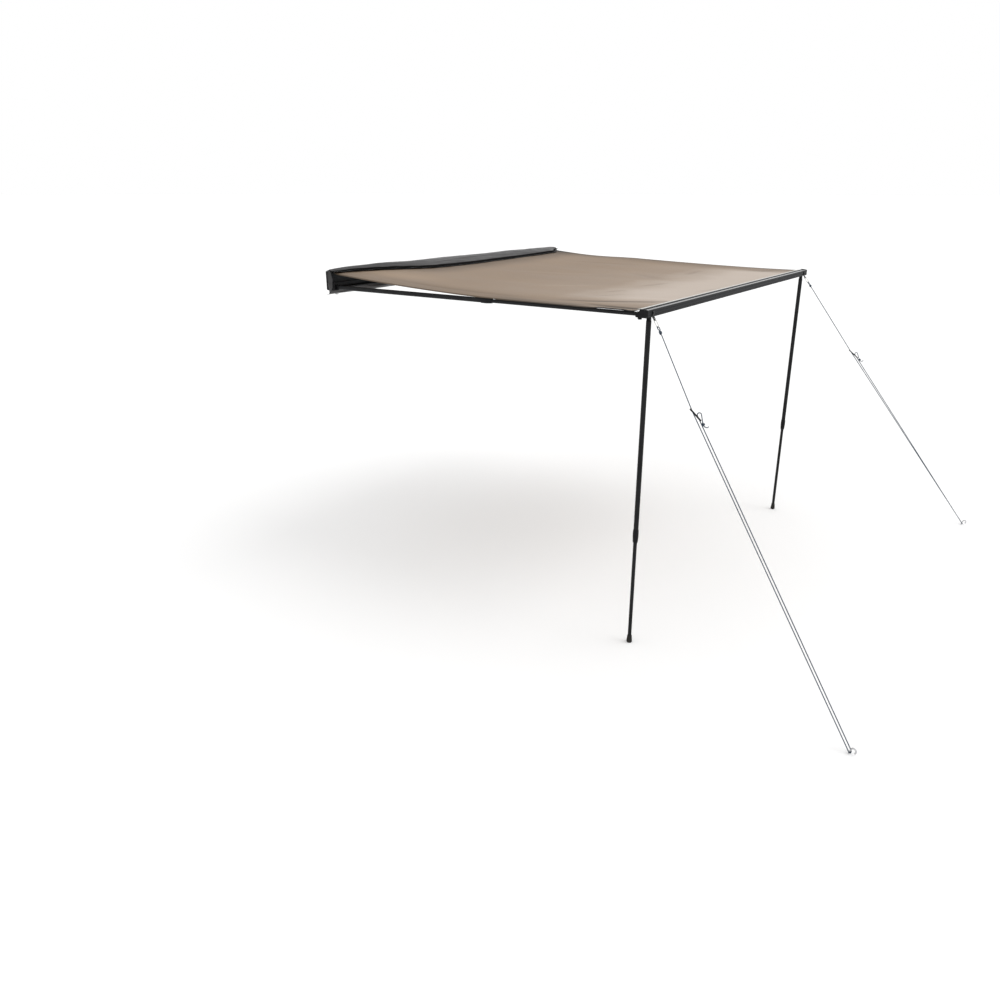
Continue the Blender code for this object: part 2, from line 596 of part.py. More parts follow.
def top_flap_point(u, v):
    """The bag's upper half: up out of its track, puffed, and lying forward on the canopy."""
    x = (2 * u - 1) * BAG_X
    ends = max(0.0, abs(x) / BAG_X - 0.6) / 0.4
    fall = 1 - 0.82 * ends ** 2.2
    if x > 0:
        reach = 0.205 - 0.085 * (x / BAG_X) ** 1.2
    else:
        narrow = min(1.0, max(0.0, -x / BAG_X - 0.28) / 0.68)
        reach = 0.205 - 0.150 * narrow ** 2 * (3 - 2 * narrow)
    if v < 0.12:
        inner = (2 * u - 1) * (RAIL_X - 0.001)
        return Vector((inner, BAG_TRACK_Y, TRACK_Z + KEDER + GAP + v / 0.12 * 0.0058))
    w = (v - 0.12) / 0.88
    y = BAG_TRACK_Y - 0.004 * math.sin(math.pi * w) - reach * w
    rest = canopy_height(x, y) + 0.0036 if y < -0.034 else RAIL_HALF + 0.0034
    rest = max(rest, RAIL_HALF + 0.0034 - 0.12 * max(0.0, -0.030 - y))
    crest = (0.022 * fall + 0.003) * math.sin(math.pi * min(1.0, w * 1.25)) ** 0.8 if w < 0.8 else 0
    return Vector((x, y, rest + crest))


def lower_flap_point(u, v):
    """The bag's lower half, hanging below the rail from its track, zip edge turned back."""
    x = (2 * u - 1) * (RAIL_X - 0.001)
    if v < 0.1:
        return Vector((x, TRACK_Y, -TRACK_Z - KEDER - GAP - v / 0.1 * 0.004))
    w = (v - 0.1) / 0.9
    calm = max(0.0, min(1.0, (x + 0.80) / 0.2)) if w > 0.5 else 1.0
    wave = calm * math.sin(math.pi * min(1.0, w)) + calm * 0.25 * w
    y = TRACK_Y + 0.034 * w * w + 0.006 * wave * math.sin(11 * x + 1.2)
    z = -TRACK_Z - KEDER - GAP - 0.004 - 0.030 * math.sin(1.45 * w) + 0.004 * wave * math.sin(17 * x)
    return Vector((x, y, z))


draped("bag_top_flap", 40, 9, top_flap_point, SHEET, "bag_black")
draped("bag_lower_flap", 32, 6, lower_flap_point, SHEET, "bag_black")


def bag_end(end, side):
    """Crumpled gusset that closes the bag's end, with its piped rim."""
    def place_point(u, v):
        angle = math.pi * (0.5 - u)
        radius = 0.14 + 0.86 * v
        y = -0.026 - 0.030 * radius * math.cos(angle) * (1 + 0.05 * math.sin(9 * angle))
        z = -0.0035 + 0.0645 * radius * math.sin(angle) * (1 + 0.04 * math.sin(7 * angle))
        x = side * (BAG_X + 0.0011 + 0.008 * (1 - v) + 0.0012 * math.sin(5 * angle) * v * (1 - v) * 4)
        return Vector((x, y, z))
    panel = draped("bag_end_" + end, 16, 6, place_point, 0.0016, "bag_black")
    return panel


bag_end("front", -1)
bag_end("rear", 1)


# Slider of the bag's zip, round the straight part of the lower flap's edge
zip_edge = lower_flap_point(0.0, 1.0)
zip_low = [(zip_edge.y - 0.006, zip_edge.z - 0.006), (zip_edge.y + 0.010, zip_edge.z - 0.006)]
zip_low += [(zip_edge.y + 0.010, zip_edge.z + 0.006), (zip_edge.y - 0.006, zip_edge.z + 0.006)]
zip_low += [(zip_edge.y - 0.006, zip_edge.z + 0.0022), (zip_edge.y + 0.006, zip_edge.z + 0.0022)]
zip_low += [(zip_edge.y + 0.006, zip_edge.z - 0.0022), (zip_edge.y - 0.006, zip_edge.z - 0.0022)]
extruded("zip_slider", zip_low, "X", 0.084 - AWNING_LENGTH / 2, 0.098 - AWNING_LENGTH / 2, "steel")

ROPE = 0.00225
PEG = 0.0035


def tube_along(name, points, radius, slot, swell=None, resolution=2):
    """A round cord or wire through points; swell gives some of them a larger radius (knots)."""
    curve = bpy.data.curves.new(name, "CURVE")
    curve.dimensions = "3D"
    curve.bevel_depth = radius
    curve.bevel_resolution = resolution
    curve.use_fill_caps = True
    spline = curve.splines.new("POLY")
    spline.points.add(len(points) - 1)
    for i, (point, place) in enumerate(zip(spline.points, points)):
        point.co = (*place, 1)
        point.radius = (swell or {}).get(i, 1.0)
    return add(name, curve, slot)


def guy(end, side, peg_point, bar_top, bar_low):
    """One guy: eye tab, link, rope, tensioner and peg; points are (out, forward, up) from the leg's line."""
    bend = Vector((side * LEG_X, BEAM_FRONT - GAP - 0.0015, BEAM_LOW))

    def placed(out, forward, up):
        return Vector((side * (LEG_X + out), LEG_LINE - forward, up))

    ground = placed(*peg_point)
    down = (ground - bend).normalized()
    slope = Vector((0, down.y, down.z)).normalized()
    level = Vector((0, -slope.z, slope.y))
    eye = bend + slope * 0.0105

    def across(a, b):
        """A point of the tab's section: a along the slope, b towards its upper face."""
        place = bend + slope * a + level * b
        return place.y, place.z

    section = [(BEAM_FRONT - GAP - 0.003, BEAM_LOW + 0.0005), (BEAM_FRONT - GAP - 0.003, -0.023)]
    section += [(BEAM_FRONT - GAP, -0.023), (BEAM_FRONT - GAP, BEAM_LOW - 0.0005)]
    section += [across(0.020, -0.0015), across(0.020, 0.0015)]
    lean = level.y
    if lean > 0:
        section[4], section[5] = across(0.020, 0.0015), across(0.020, -0.0015)
    tab = extruded("guy_eye_" + end, section, "X", side * LEG_X - 0.010, side * LEG_X + 0.010, "powder_black")
    cut(tab, rod(end + "_tab_pin", (side * LEG_X, BEAM_FRONT - 0.01, LEG_Z), (side * LEG_X, BEAM_FRONT + 0.01, LEG_Z),
                 PIN + GAP, steps=16))
    cut(tab, rod(end + "_tab_eye", eye - level * 0.008, eye + level * 0.008, 0.0045, steps=16))

    along = (ground - eye).normalized()
    normal = level
    lateral = along.cross(normal).normalized()
    normal = lateral.cross(along).normalized()
    wire = 0.0016
    top = eye + along * (0.0045 - wire - GAP)
    ring = []
    bow = 0.0054
    for i in range(9):
        angle = math.pi * i / 8
        ring.append(top + along * (bow - bow * math.sin(angle)) - normal * bow * math.cos(angle))
    for i in range(9):
        angle = math.pi * i / 8
        ring.append(top + along * (0.0418 - bow + bow * math.sin(angle)) + normal * bow * math.cos(angle))
    link = tube_along("guy_clip_" + end, ring, wire, "clip_pale", resolution=1)
    link.data.splines[0].use_cyclic_u = True
    link.data.use_fill_caps = False

    # The rope: an eye through the link, down through the bar's top hole, round the peg, back to the bar
    inside_link = top + along * (0.0418 - wire - ROPE - GAP)
    turn = 0.0098
    centre = inside_link + along * turn
    knot = centre + along * 0.021
    bar_top = placed(*bar_top)
    bar_low = placed(*bar_low)
    bar = (bar_low - bar_top).normalized()
    first = bar_top + bar * 0.015
    second = bar_low - bar * 0.015
    first_run = (ground - first).normalized()
    lean_out = Vector((along.x, along.y, 0)).normalized()
    stake = (lean_out * 0.35 + Vector((0, 0, 0.937))).normalized()
    hold = ground + stake * 0.010
    side_run = first_run.cross(stake).normalized()
    if (second - first).dot(side_run) < 0:
        side_run = -side_run
    run = (hold - (first + second) / 2).normalized()
    flat = (side_run - run * side_run.dot(run)).normalized()
    loop_centre = hold - run * (turn - 1.35 * PEG - ROPE - GAP)
    route = [knot + lateral * (2 * ROPE + GAP) - along * 0.004, knot + lateral * (2 * ROPE + GAP) - along * 0.010]
    for i in range(9):
        angle = math.radians(-30 + 240 * i / 8)
        route.append(centre + lateral * turn * math.cos(angle) - along * turn * math.sin(angle))
    route.append(knot - along * 0.010)
    swollen = len(route)
    route += [knot - along * 0.003, knot + along * 0.003, knot + along * 0.010]
    route += [first - (first - knot).normalized() * 0.014, first]
    for i in range(11):
        angle = math.pi * i / 10
        route.append(loop_centre - flat * turn * math.cos(angle) + run * turn * math.sin(angle))
    last = route[-1]
    back = (second - last).normalized()
    beside = Vector((0.573, -0.820, 0))
    beside = (beside - back * beside.dot(back)).normalized()
    over = second + back * 0.014
    route.append(second)
    for i in range(9):
        angle = math.pi * i / 8
        route.append(over + beside * turn * (1 - math.cos(angle)) + back * turn * math.sin(angle))
    route.append(second - back * 0.024 + beside * 0.0085)
    knotted = len(route)
    route += [second - back * 0.029 + beside * 0.0072, second - back * 0.035 + beside * 0.0072]
    tail = second - back * 0.041 + beside * 0.0080
    for i in range(6):
        angle = math.radians(24 * i)
        route.append(tail - back * 0.012 * math.sin(angle) + beside * 0.012 * (1 - math.cos(angle)))
    swell = {swollen: 1.75, swollen + 1: 1.75, knotted: 1.7, knotted + 1: 1.7}
    rope = tube_along("guy_line_" + end, route, ROPE, "rope_blue", swell)

    thick = (first_run - bar * first_run.dot(bar)).normalized()
    width = bar.cross(thick).normalized()
    form = bmesh.new()
    long = (bar_low - bar_top).length
    bmesh.ops.create_cube(form, size=1)
    bmesh.ops.scale(form, verts=form.verts, vec=(0.014, 0.004, long))
    mesh = bpy.data.meshes.new("guy_tensioner_" + end)
    form.to_mesh(mesh)
    form.free()
    slide = add("guy_tensioner_" + end, mesh, "moulded_black")
    frame = Matrix((width, thick, bar)).transposed().to_4x4()
    slide.matrix_world = Matrix.Translation((bar_top + bar_low) / 2) @ frame
    softened(slide, 0.0012, 2)
    through = (first - knot).normalized() + first_run
    through.normalize()
    cut(slide, rod(end + "_first_hole", first - through * 0.03, first + through * 0.03, 0.0034, steps=12))
    cut(slide, rod(end + "_second_hole", second - back * 0.03, second + back * 0.03, 0.0031, steps=12))

    top_bend = ground + stake * 0.024
    away = (lean_out - stake * lean_out.dot(stake)).normalized()
    steel = [ground - stake * 0.190, ground - stake * 0.020, top_bend]
    for i in range(1, 8):
        angle = math.radians(180 * i / 7)
        steel.append(top_bend + away * 0.011 * (1 - math.cos(angle)) + stake * 0.011 * math.sin(angle))
    steel.append(steel[-1] - stake * 0.008)
    peg = tube_along("guy_peg_" + end, steel, PEG, "steel", {0: 0.35})
    ride(beam_carrier, tab, link, rope, peg)
    slide.parent = beam_carrier
    slide.matrix_parent_inverse = Matrix.Translation(-beam_carrier.location)


guy("front", -1, (0.297, 1.182, GROUND), (0.0792, 0.2642, -0.4300), (0.0725, 0.3180, -0.4800))
guy("rear", 1, (0.466, 1.204, GROUND), (0.1259, 0.3522, -0.5404), (0.1542, 0.4084, -0.5930))
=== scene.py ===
"""Looks of the vehicle side awning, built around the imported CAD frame. Metres, +Z up."""

import math

import bmesh
import bpy
from mathutils import Matrix, Vector, noise


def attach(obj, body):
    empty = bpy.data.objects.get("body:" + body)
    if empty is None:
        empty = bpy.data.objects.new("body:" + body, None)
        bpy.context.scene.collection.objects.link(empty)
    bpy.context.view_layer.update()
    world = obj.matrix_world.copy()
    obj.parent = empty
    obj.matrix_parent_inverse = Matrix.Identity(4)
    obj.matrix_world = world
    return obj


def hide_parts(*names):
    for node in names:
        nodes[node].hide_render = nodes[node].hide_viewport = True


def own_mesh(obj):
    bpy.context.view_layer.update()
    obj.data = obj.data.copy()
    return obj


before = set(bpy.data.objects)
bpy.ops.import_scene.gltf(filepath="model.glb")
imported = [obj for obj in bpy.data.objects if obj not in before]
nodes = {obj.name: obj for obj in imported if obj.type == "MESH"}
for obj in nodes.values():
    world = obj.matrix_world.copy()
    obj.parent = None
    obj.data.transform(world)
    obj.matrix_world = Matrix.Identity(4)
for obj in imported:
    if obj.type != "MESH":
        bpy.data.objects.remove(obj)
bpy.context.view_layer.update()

# Camera: a little above the beam, looking along the awning from outside its front corner. The angles
# and the lens come from the photograph's straight edges.
around = math.radians(-55.04)
above = math.radians(20.17)
away = Vector((math.sin(around) * math.cos(above), -math.cos(around) * math.cos(above), math.sin(above)))
lens = bpy.data.cameras.new("camera")
lens.sensor_width = 36
lens.lens = 29.73
lens.shift_y = -0.0059
lens.clip_start = 0.05
camera = bpy.data.objects.new("camera", lens)
camera.location = (-4.726, -3.668, 0.491)
camera.rotation_euler = away.to_track_quat("Z", "Y").to_euler()
bpy.context.scene.collection.objects.link(camera)
bpy.context.scene.camera = camera
bpy.context.scene.view_settings.view_transform = "Standard"

# Light: an even white sky lights the awning from all sides. A wide soft sun stands above the camera's right,
# so that tubes round off gently and the floor keeps a soft shadow.
sky = bpy.data.worlds.new("sky")
sky.use_nodes = True
sky.node_tree.nodes["Background"].inputs["Color"].default_value = (1, 1, 1, 1)
sky.node_tree.nodes["Background"].inputs["Strength"].default_value = 1.0
bpy.context.scene.world = sky
lamp = bpy.data.lights.new("sun", "SUN")
lamp.energy = 0.8
lamp.angle = 0.7
sun = bpy.data.objects.new("sun", lamp)
sun.rotation_euler = Vector((0.35, -0.75, 1.0)).to_track_quat("Z", "Y").to_euler()
bpy.context.scene.collection.objects.link(sun)

# Floor: pale, plain and level, just below the soles of the feet, so that the two never lie in one plane.
# The pegs go down into it.
FLOOR_Z = -1.7504
floor_mesh = bpy.data.meshes.new("floor")
floor_shape = bmesh.new()
bmesh.ops.create_grid(floor_shape, x_segments=2, y_segments=2, size=400)
bmesh.ops.translate(floor_shape, verts=floor_shape.verts, vec=(0, 0, FLOOR_Z))
floor_shape.to_mesh(floor_mesh)
floor_shape.free()
floor = bpy.data.objects.new("floor", floor_mesh)
bpy.context.scene.collection.objects.link(floor)
floor_paint = bpy.data.materials.new("floor")
floor_paint.use_nodes = True
floor_paint.node_tree.nodes["Principled BSDF"].inputs["Base Color"].default_value = (0.93, 0.93, 0.93, 1)
floor_paint.node_tree.nodes["Principled BSDF"].inputs["Roughness"].default_value = 0.9
floor_mesh.materials.append(floor_paint)

# Extrusions: the base rail and the front beam. Dark grey anodised aluminium with faint drawing lines
# along X and a slightly uneven sheen.


def surface(name, dark, light, size, rough, bump=0.1, metal=0.0, stretch=(1, 1, 1), grain=0.0, shine=0.2):
    """A paint with clouds of two tones, uneven roughness and a fine relief; sizes in metres."""
    paint = bpy.data.materials.new(name)
    paint.use_nodes = True
    tree = paint.node_tree
    base = tree.nodes["Principled BSDF"]
    base.inputs["Metallic"].default_value = metal
    base.inputs["Specular IOR Level"].default_value = shine
    where = tree.nodes.new("ShaderNodeTexCoord")
    scaled = tree.nodes.new("ShaderNodeMapping")
    scaled.inputs["Scale"].default_value = stretch
    tree.links.new(where.outputs["Object"], scaled.inputs["Vector"])
    cloud = tree.nodes.new("ShaderNodeTexNoise")
    cloud.inputs["Scale"].default_value = 1 / size
    cloud.inputs["Detail"].default_value = 8
    cloud.inputs["Roughness"].default_value = 0.62
    tree.links.new(scaled.outputs["Vector"], cloud.inputs["Vector"])
    tones = tree.nodes.new("ShaderNodeValToRGB")
    tones.color_ramp.elements[0].position = 0.32
    tones.color_ramp.elements[0].color = (*dark, 1)
    tones.color_ramp.elements[1].position = 0.70
    tones.color_ramp.elements[1].color = (*light, 1)
    tree.links.new(cloud.outputs["Fac"], tones.inputs["Fac"])
    tree.links.new(tones.outputs["Color"], base.inputs["Base Color"])
    sheen = tree.nodes.new("ShaderNodeMapRange")
    sheen.inputs["From Min"].default_value = 0.3
    sheen.inputs["From Max"].default_value = 0.7
    sheen.inputs["To Min"].default_value = rough[0]
    sheen.inputs["To Max"].default_value = rough[1]
    tree.links.new(cloud.outputs["Fac"], sheen.inputs["Value"])
    tree.links.new(sheen.outputs["Result"], base.inputs["Roughness"])
    fine = tree.nodes.new("ShaderNodeTexNoise")
    fine.inputs["Scale"].default_value = 1 / (grain or size / 12)
    fine.inputs["Detail"].default_value = 3
    tree.links.new(scaled.outputs["Vector"], fine.inputs["Vector"])
    relief = tree.nodes.new("ShaderNodeBump")
    relief.inputs["Strength"].default_value = bump
    relief.inputs["Distance"].default_value = 0.0006
    tree.links.new(fine.outputs["Fac"], relief.inputs["Height"])
    tree.links.new(relief.outputs["Normal"], base.inputs["Normal"])
    return paint


def first_node(tree, kind):
    """The node of a kind that a paint was given first."""
    return next(node for node in tree.nodes if node.type == kind)


def dress(paint, *names):
    """Gives solids of the frame this paint alone."""
    for name in names:
        nodes[name].data.materials.clear()
        nodes[name].data.materials.append(paint)


def smooth_on_top(paint, rough):
    """Faces that look up are rubbed smooth, so that the sky shines on them at a low angle."""
    tree = paint.node_tree
    base = tree.nodes["Principled BSDF"]
    facing = first_node(tree, "TEX_COORD").outputs["Normal"]
    parts = tree.nodes.new("ShaderNodeSeparateXYZ")
    tree.links.new(facing, parts.inputs["Vector"])
    up = tree.nodes.new("ShaderNodeMapRange")
    up.inputs["From Min"].default_value = 0.6
    up.inputs["From Max"].default_value = 0.95
    tree.links.new(parts.outputs["Z"], up.inputs["Value"])
    rubbed = tree.nodes.new("ShaderNodeMix")
    rubbed.inputs["B"].default_value = rough
    tree.links.new(up.outputs["Result"], rubbed.inputs["Factor"])
    tree.links.new(base.inputs["Roughness"].links[0].from_socket, rubbed.inputs["A"])
    tree.links.new(rubbed.outputs["Result"], base.inputs["Roughness"])


anodised = surface("dark_anodised", dark=(0.012, 0.0125, 0.0135), light=(0.028, 0.029, 0.031), size=0.012,
                   rough=(0.50, 0.64), metal=0.6, stretch=(0.03, 1, 1), grain=0.0012, shine=0.1)
smooth_on_top(anodised, 0.12)
dress(anodised, "base_rail", "front_beam")

# Tubes, brackets and eye tabs: drawn aluminium tube and bent aluminium, powder coated in satin black. The
# coat has a fine orange peel.
powder = surface("powder_coat", dark=(0.007, 0.0072, 0.0078), light=(0.015, 0.0155, 0.0165), size=0.05,
                 rough=(0.36, 0.48), bump=0.18, stretch=(1, 1, 0.25), grain=0.0009, shine=0.12)
dress(powder, *[f"{kind}_{part}_{end}" for kind in ("leg", "rafter") for part in ("outer", "inner")
                for end in ("front", "rear")])
dress(powder, "mount_bracket_front", "mount_bracket_rear", "guy_eye_front", "guy_eye_rear")

# Mouldings: caps, knuckles, collars, knobs, tips and tensioners, moulded in black nylon with a fine grain.
# Where they look up they are rubbed smooth.
moulded = surface("moulded_nylon", dark=(0.0045, 0.0045, 0.005), light=(0.012, 0.012, 0.013), size=0.02,
                  rough=(0.42, 0.56), bump=0.22, grain=0.0006, shine=0.10)
smooth_on_top(moulded, 0.18)
dress(moulded, *[f"{part}_{end}" for part in ("rail_end_cap", "beam_end_cap", "clamp_knob", "leg_knuckle",
                 "leg_lock", "rafter_knuckle", "rafter_lock", "rafter_tip", "guy_tensioner")
                 for end in ("front", "rear")])

# Feet: moulded cups of matt black rubber over the ends of the legs' inner tubes, dusty and scuffed in
# patches.
rubber = surface("foot_rubber", dark=(0.009, 0.009, 0.0095), light=(0.040, 0.036, 0.031), size=0.014,
                 rough=(0.78, 0.95), bump=0.5, grain=0.001)
dress(rubber, "leg_foot_front", "leg_foot_rear")

# Fasteners, pegs and slider: zinc-plated steel, bright and a little cloudy. The riveted pins of the arms
# and legs are blackened instead.
zinc = surface("zinc_plate", dark=(0.42, 0.42, 0.43), light=(0.62, 0.62, 0.63), size=0.006, rough=(0.25, 0.42),
               bump=0.12, metal=1.0, grain=0.0007)
dress(zinc, *[f"bracket_bolt_{end}_{where}" for end in ("front", "rear") for where in ("upper", "lower")])
dress(zinc, "guy_peg_front", "guy_peg_rear", "zip_slider")
blackened = surface("black_oxide", dark=(0.018, 0.018, 0.019), light=(0.045, 0.044, 0.043), size=0.006,
                    rough=(0.34, 0.5), bump=0.15, metal=0.8, grain=0.0007)
dress(blackened, *[f"{part}_pin_{end}" for part in ("rafter_pivot", "leg_pivot") for end in ("front", "rear")])

# Keder rods and the links of the guys: off-white plastic. The rods lie in the tracks with the cloth's edges
# on them, and the links hang in the eye tabs.
pale = surface("pale_plastic", dark=(0.52, 0.51, 0.48), light=(0.66, 0.65, 0.62), size=0.02, rough=(0.4, 0.55))
dress(pale, "rear_keder", "front_keder", "guy_clip_front", "guy_clip_rear")

# Canopy: one sheet of coated ripstop, nearly taut between its two tracks, a little slack in the middle,
# with shallow tension folds from its corners. It replaces the CAD sheet and follows the beam.
CLOTH_HALF = 1.232
CLOTH_BACK_Y = -0.0278
CLOTH_BACK_Z = 0.0444
CLOTH_OUT = 1.9850
HEM_TURN_X = 1.2225
HEM_CURL = 0.0118
ARM_X = 1.222
ARM_Z = -0.038
BAG_HALF = 1.2525


def canopy_height(x, y):
    """Height of the plain cloth: it falls towards the beam, sags between the tracks and waves a little."""
    t = (y - CLOTH_BACK_Y) / -CLOTH_OUT
    edge = min(1.0, abs(x) / CLOTH_HALF)
    bow = 4 * t * (1 - t)
    z = CLOTH_BACK_Z - 0.0620 * t
    z -= bow * (0.030 + 0.001 * edge ** 3)
    z += 0.0028 * bow * math.sin(5.2 * x + 2.1 * t) * (1 - 0.5 * edge)
    z += 0.0016 * bow * math.sin(14 * x - 5 * t + 0.6)
    return z


def ease(value, start, end):
    """0 before the start, 1 after the end, and a smooth way between them."""
    share = min(1.0, max(0.0, (value - start) / (end - start)))
    return share * share * (3 - 2 * share)


# Folds: from and to in X, Y, half width and height (minus for a valley), in metres, and how much painted shade
# lies along them (minus for a painted highlight), after the light and shade of the photograph. The long ones
# run from the front corners, the short ones are puckers.
FOLDS = [
    ((-1.047, -1.58), (-0.877, -2.00), 0.025, -0.0052, 0.62),
    ((-0.985, -1.48), (-0.800, -1.96), 0.040, 0.0042, -0.04),
    ((-1.136, -1.72), (-1.172, -2.01), 0.014, -0.0055, 0.66),
    ((-1.100, -1.55), (-1.085, -1.98), 0.022, 0.0035, -0.06),
    ((-1.110, -0.50), (-1.120, -1.25), 0.034, -0.0035, 0.18),
    ((-1.200, -1.35), (-1.195, -1.97), 0.012, 0.0030, -0.10),
    ((-0.613, -1.511), (-0.500, -1.55), 0.016, -0.0040, 0.19),
    ((-0.820, -1.540), (-0.690, -1.632), 0.013, -0.0036, 0.18),
    ((-0.245, -1.555), (-0.076, -1.609), 0.018, -0.0038, 0.17),
    ((0.580, -1.470), (0.751, -1.476), 0.022, -0.0036, 0.16),
    ((-0.660, -1.10), (-0.420, -1.30), 0.050, 0.0030, -0.05),
    ((0.950, -1.71), (1.080, -1.86), 0.026, -0.0034, 0.13),
    ((1.175, -1.10), (1.110, -1.98), 0.024, 0.0040, -0.05),
    ((1.040, -1.70), (0.985, -1.99), 0.032, -0.0036, 0.10),
    ((0.330, -1.22), (0.180, -1.44), 0.040, -0.0035, 0.06),
    ((-0.150, -0.62), (0.050, -0.98), 0.045, 0.0030, -0.04),
    ((0.700, -0.55), (0.820, -0.95), 0.040, -0.0030, 0.05),
    ((-0.360, -1.93), (-0.180, -1.99), 0.016, -0.0022, 0.16),
    ((-0.960, -0.14), (-0.930, -0.52), 0.110, 0.0, -0.14),
]


def folded(x, y):
    """How much the folds lift the cloth at a point, and how much painted shade they lay on it (minus for
    highlight).
    """
    lift = painted_shade = 0.0
    for (x0, y0), (x1, y1), half, high, dark in FOLDS:
        dx, dy = x1 - x0, y1 - y0
        share = ((x - x0) * dx + (y - y0) * dy) / (dx * dx + dy * dy)
        off = math.hypot(x - x0 - dx * share, y - y0 - dy * share) / half
        if -0.45 < share < 1.45 and off < 3:
            near = math.exp(-off * off) * ease(share, -0.45, 0.35) * (1 - ease(share, 0.65, 1.45))
            lift += high * near
            # Painted shade along a fold; a minus value is a painted highlight
            painted_shade += dark * near
    return lift, painted_shade


def flap_reach(x):
    """How far the bag's upper half lies forward over the canopy."""
    if x > 0:
        return 0.205 - 0.085 * (x / BAG_HALF) ** 1.2 - 0.080 * ease(x, 1.04, BAG_HALF)
    narrow = min(1.0, max(0.0, -x / BAG_HALF - 0.28) / 0.68)
    return 0.205 - 0.150 * narrow ** 2 * (3 - 2 * narrow)


def laid(x, y, v):
    """Height of the cloth and its painted shade, with slack, waves and folds."""
    bow = 4 * v * (1 - v)
    from_track = min(v, 1 - v)
    loose = min(1.0, max(0.0, from_track - 0.012) * 30) * min(1.0, (HEM_TURN_X - abs(x)) * 40)
    lift, painted_shade = folded(x, y)
    z = canopy_height(x, y) + loose * lift
    # The rear side is drawn up, the whole sheet is a little uneven, and the front corner at the beam droops
    z += 0.0175 * bow * ease(v, 0.12, 0.38) * (1 - 0.72 * max(0.0, v - 0.38)) * ease(x, 0.25, 1.15)
    z += loose * 0.0026 * bow * noise.noise(Vector((x * 2.6, y * 1.7, 4.0)))
    z += loose * 0.0012 * bow * noise.noise(Vector((x * 9.0, y * 3.1, 7.5)))
    z -= 0.0075 * ease(-x, 1.11, 1.215) * ease(-y, 1.60, 1.78) * (1 - ease(-y, 1.945, 2.008))
    # Small gathers along both tracks
    gather = (1 - min(1.0, from_track * 14)) * min(1.0, from_track * 60)
    z += loose * 0.0009 * gather * math.sin(88 * x + 2 * math.sin(7 * x))
    return max(z, -0.0276), painted_shade


def over_arm(x, y):
    """Height at which the side hem rests on its arm: on the tube, or on the collar, which comes under
    another part of the hem when the beam is pushed in."""
    swell = max(1 - ease(abs(y + 1.135), 0.045, 0.075), 1 - ease(abs(y + 1.8515), 0.064, 0.090))
    radius = 0.0134 + 0.0026 * swell
    off = min(radius, abs(abs(x) - ARM_X))
    return ARM_Z + math.sqrt(radius * radius - off * off)


# The sheet is made along its own width, and the last centimetre of each side hem curls down over its arm
canopy_mesh = bpy.data.meshes.new("canopy_sheet")
form = bmesh.new()
bmesh.ops.create_grid(form, x_segments=336, y_segments=140, size=0.5)
shade = form.verts.layers.float.new("shade")
for vertex in form.verts:
    w = 2 * vertex.co.x
    v = vertex.co.y + 0.5
    bow = 4 * v * (1 - v)
    ends = ease(min(v, 1 - v), 0.0, 0.03)
    across = CLOTH_HALF * w * (1.35 - 0.35 * w * w) - 0.0025 * ends
    over = max(0.0, abs(across) - HEM_TURN_X)
    x = math.copysign(abs(across) - over, across) * (1 - 0.001 * bow)
    y = CLOTH_BACK_Y - CLOTH_OUT * v
    z, painted_shade = laid(x, y, v)
    curl = HEM_CURL / max(0.02, ends)
    side = math.copysign(1.0, across)
    x += side * curl * math.sin(over / curl)
    vertex.co = (x, y, max(z - curl * (1 - math.cos(over / curl)), over_arm(x, y)))
    # Painted shade along both sides and the beam, more on the front and rear sides, a painted shadow below the bag
    # and painted shade on the hems where they turn down. These tones follow light and shade of the photograph.
    painted_shade += 0.10 * ease(abs(x), 0.95, 1.10) + 0.09 * ease(v, 0.974, 0.992)
    painted_shade += (0.12 + 0.28 * ease(-y, 1.05, 1.35) * (1 - 0.7 * ease(-y, 1.62, 1.78))) * ease(-x, 1.12, 1.19)
    painted_shade += 0.10 * ease(x, 0.98, 1.10) + 0.38 * ease(x, 1.11, 1.20)
    painted_shade += 0.42 * (1 - ease(-0.015 - y - flap_reach(x), 0.0, 0.24)) * (1 - 0.7 * ease(-x, 0.55, 0.85))
    # Painted shade on the hem where it curls down over its arm
    hem_curl_shade = 0.34 + 0.36 * ease(-x, 1.20, 1.215) * ease(-y, 1.66, 1.80)
    vertex[shade] = painted_shade + hem_curl_shade * min(1.0, over / 0.004)
form.to_mesh(canopy_mesh)
form.free()
canopy = bpy.data.objects.new("canopy_sheet", canopy_mesh)
bpy.context.scene.collection.objects.link(canopy)
canopy_mesh.shade_smooth()
thickness = canopy.modifiers.new("Thickness", "SOLIDIFY")
thickness.thickness = 0.0007
thickness.offset = 0


def stripes(tree, source, axis, pitch, wide):
    """A mask that is 1 on lines across an axis of the object's own coordinates."""
    parted = tree.nodes.new("ShaderNodeSeparateXYZ")
    tree.links.new(source, parted.inputs["Vector"])
    zigzag = tree.nodes.new("ShaderNodeMath")
    zigzag.operation = "PINGPONG"
    zigzag.inputs[1].default_value = pitch / 2
    tree.links.new(parted.outputs[axis], zigzag.inputs[0])
    mask = tree.nodes.new("ShaderNodeMath")
    mask.operation = "LESS_THAN"
    mask.inputs[1].default_value = wide / 2
    tree.links.new(zigzag.outputs["Value"], mask.inputs[0])
    return mask.outputs["Value"]


